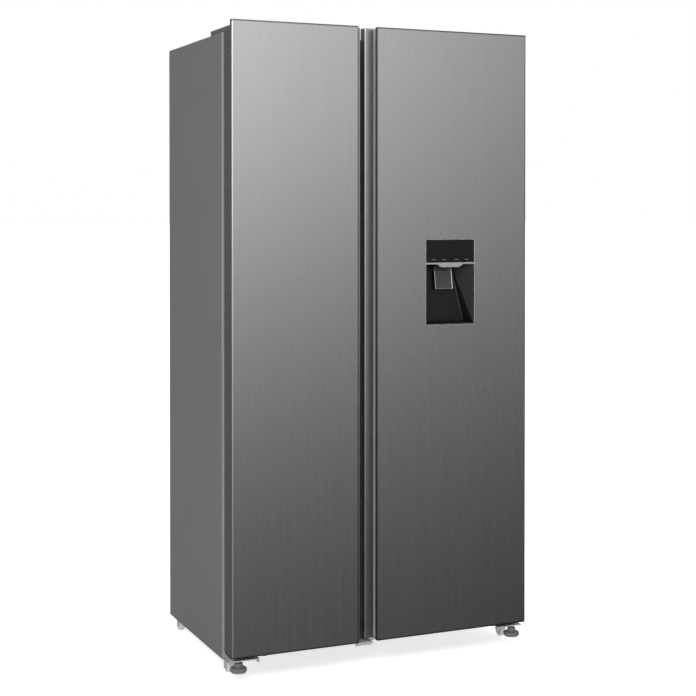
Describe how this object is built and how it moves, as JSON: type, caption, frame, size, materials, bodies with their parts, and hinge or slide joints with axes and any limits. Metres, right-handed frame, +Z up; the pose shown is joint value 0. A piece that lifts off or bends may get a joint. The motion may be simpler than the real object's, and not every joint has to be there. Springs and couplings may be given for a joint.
{
  "type": "side by side refrigerator",
  "caption": "Side by side refrigerator: narrow freezer door, wide fridge door with a water dispenser, recessed handle channels, drawers, shelves and rollers.",
  "frame": {"origin": "on the floor, under the middle of the whole object", "axes": "+Z up, +X to the right as seen from the front, and the doors face -Y"},
  "size_m": [0.897, 0.57, 1.763],
  "materials": {
    "stainless": "dark stainless with a vertical grain",
    "handle_metal": "dark satin",
    "grey_paint": "satin grey paint",
    "zinc": "galvanised",
    "dark_trim": "dark grey moulded plastic",
    "black_plastic": "black moulded plastic",
    "black_gloss": "black gloss",
    "smoke": "smoky plastic",
    "white_plastic": "white vacuum-formed plastic",
    "grey_plastic": "grey moulded plastic",
    "roller_nylon": "pale nylon",
    "clear_plastic": "clear moulded plastic",
    "foam": "rigid foam",
    "gasket": "soft vinyl seal",
    "shelf_glass": "tempered glass",
    "black_enamel": "black enamel",
    "bare_aluminium": "bare fins"
  },
  "bodies": {
    "cabinet": {"outer_case": "grey_paint", "back_panel": "zinc", "base_pan": "zinc", "cabinet_foam": "foam", "freezer_liner": "white_plastic", "fridge_liner": "white_plastic", "freezer_duct_cover": "white_plastic", "fridge_duct_cover": "white_plastic", "evaporator": "bare_aluminium", "freezer_shelf_lower": "shelf_glass", "freezer_shelf_upper": "shelf_glass", "fridge_shelf_lower": "shelf_glass", "fridge_shelf_middle": "shelf_glass", "fridge_shelf_upper": "shelf_glass", "compressor_base": "zinc", "machine_cover": "zinc", "cable_gland": "black_plastic", "compressor": "black_enamel", "condenser": "black_enamel", "condenser_shroud": "black_plastic", "top_hinge_left": "zinc", "top_hinge_right": "zinc", "hinge_cover_left": "dark_trim", "hinge_cover_right": "dark_trim", "bottom_hinge_left": "zinc", "bottom_hinge_right": "zinc"},
    "freezer_door": {"freezer_door_panel": "stainless", "freezer_door_handle": "handle_metal", "freezer_door_top_cap": "dark_trim", "freezer_door_bottom_cap": "dark_trim", "freezer_door_foam": "foam", "freezer_door_liner": "white_plastic", "freezer_door_gasket": "gasket", "freezer_bin_upper": "clear_plastic", "freezer_bin_lower": "clear_plastic"},
    "fridge_door": {"fridge_door_panel": "stainless", "fridge_door_handle": "handle_metal", "fridge_door_top_cap": "dark_trim", "fridge_door_bottom_cap": "dark_trim", "fridge_door_foam": "foam", "fridge_door_liner": "white_plastic", "fridge_door_gasket": "gasket", "fridge_bin_upper": "clear_plastic", "fridge_bin_lower": "clear_plastic", "dispenser_housing": "black_plastic", "dispenser_display": "black_gloss", "water_tank": "clear_plastic"},
    "dispenser_paddle": {"dispenser_paddle": "smoke"},
    "freezer_drawer_lower": {"freezer_drawer_lower": "clear_plastic"},
    "freezer_drawer_upper": {"freezer_drawer_upper": "clear_plastic"},
    "crisper_lower": {"crisper_lower": "clear_plastic"},
    "crisper_upper": {"crisper_upper": "clear_plastic"},
    "foot_left": {"foot_left": "grey_plastic"},
    "foot_right": {"foot_right": "grey_plastic"},
    "roller_front_left": {"roller_front_left": "roller_nylon"},
    "roller_front_right": {"roller_front_right": "roller_nylon"},
    "roller_rear_left": {"roller_rear_left": "roller_nylon"},
    "roller_rear_right": {"roller_rear_right": "roller_nylon"},
    "evaporator_fan": {"evaporator_fan": "black_plastic"},
    "condenser_fan": {"condenser_fan": "black_plastic"}
  },
  "joints": [
    {"name": "freezer_door_hinge", "type": "hinge", "parent": "cabinet", "child": "freezer_door", "pos_m": [-0.4305, -0.245, 0.9], "axis": [0, 0, -1], "range_deg": [0, 115]},
    {"name": "fridge_door_hinge", "type": "hinge", "parent": "cabinet", "child": "fridge_door", "pos_m": [0.4305, -0.245, 0.9], "axis": [0, 0, 1], "range_deg": [0, 115]},
    {"name": "dispenser_paddle_hinge", "type": "hinge", "parent": "fridge_door", "child": "dispenser_paddle", "pos_m": [0.199, -0.243, 1.096], "axis": [1, 0, 0], "range_deg": [0, 8], "stiffness_Nm_per_rad": 0.05, "springref_deg": -11.46},
    {"name": "freezer_drawer_lower_slide", "type": "slide", "parent": "cabinet", "child": "freezer_drawer_lower", "axis": [0, -1, 0], "range_m": [0, 0.12]},
    {"name": "freezer_drawer_upper_slide", "type": "slide", "parent": "cabinet", "child": "freezer_drawer_upper", "axis": [0, -1, 0], "range_m": [0, 0.18]},
    {"name": "crisper_lower_slide", "type": "slide", "parent": "cabinet", "child": "crisper_lower", "axis": [0, -1, 0], "range_m": [0, 0.12]},
    {"name": "crisper_upper_slide", "type": "slide", "parent": "cabinet", "child": "crisper_upper", "axis": [0, -1, 0], "range_m": [0, 0.18]},
    {"name": "foot_left_turn", "type": "hinge", "parent": "cabinet", "child": "foot_left", "pos_m": [-0.4205, -0.254, 0.0187], "axis": [0, 0, 1], "continuous": true},
    {"name": "foot_right_turn", "type": "hinge", "parent": "cabinet", "child": "foot_right", "pos_m": [0.4205, -0.254, 0.0187], "axis": [0, 0, 1], "continuous": true},
    {"name": "roller_front_left_spin", "type": "hinge", "parent": "cabinet", "child": "roller_front_left", "pos_m": [-0.4245, -0.185, 0.018], "axis": [1, 0, 0], "continuous": true},
    {"name": "roller_front_right_spin", "type": "hinge", "parent": "cabinet", "child": "roller_front_right", "pos_m": [0.4245, -0.185, 0.018], "axis": [1, 0, 0], "continuous": true},
    {"name": "roller_rear_left_spin", "type": "hinge", "parent": "cabinet", "child": "roller_rear_left", "pos_m": [-0.4245, 0.25, 0.018], "axis": [1, 0, 0], "continuous": true},
    {"name": "roller_rear_right_spin", "type": "hinge", "parent": "cabinet", "child": "roller_rear_right", "pos_m": [0.4245, 0.25, 0.018], "axis": [1, 0, 0], "continuous": true},
    {"name": "evaporator_fan_spin", "type": "hinge", "parent": "cabinet", "child": "evaporator_fan", "pos_m": [-0.2355, 0.2027, 0.62], "axis": [0, 1, 0], "continuous": true},
    {"name": "condenser_fan_spin", "type": "hinge", "parent": "cabinet", "child": "condenser_fan", "pos_m": [-0.06, 0.202, 0.1053], "axis": [1, 0, 0], "continuous": true}
  ],
  "couplings": [
    {"joint": "freezer_drawer_lower_slide", "follows": "freezer_door_hinge", "m_per_rad": 0.0597},
    {"joint": "freezer_drawer_upper_slide", "follows": "freezer_door_hinge", "m_per_rad": 0.0896},
    {"joint": "crisper_lower_slide", "follows": "fridge_door_hinge", "m_per_rad": 0.0597},
    {"joint": "crisper_upper_slide", "follows": "fridge_door_hinge", "m_per_rad": 0.0896}
  ]
}
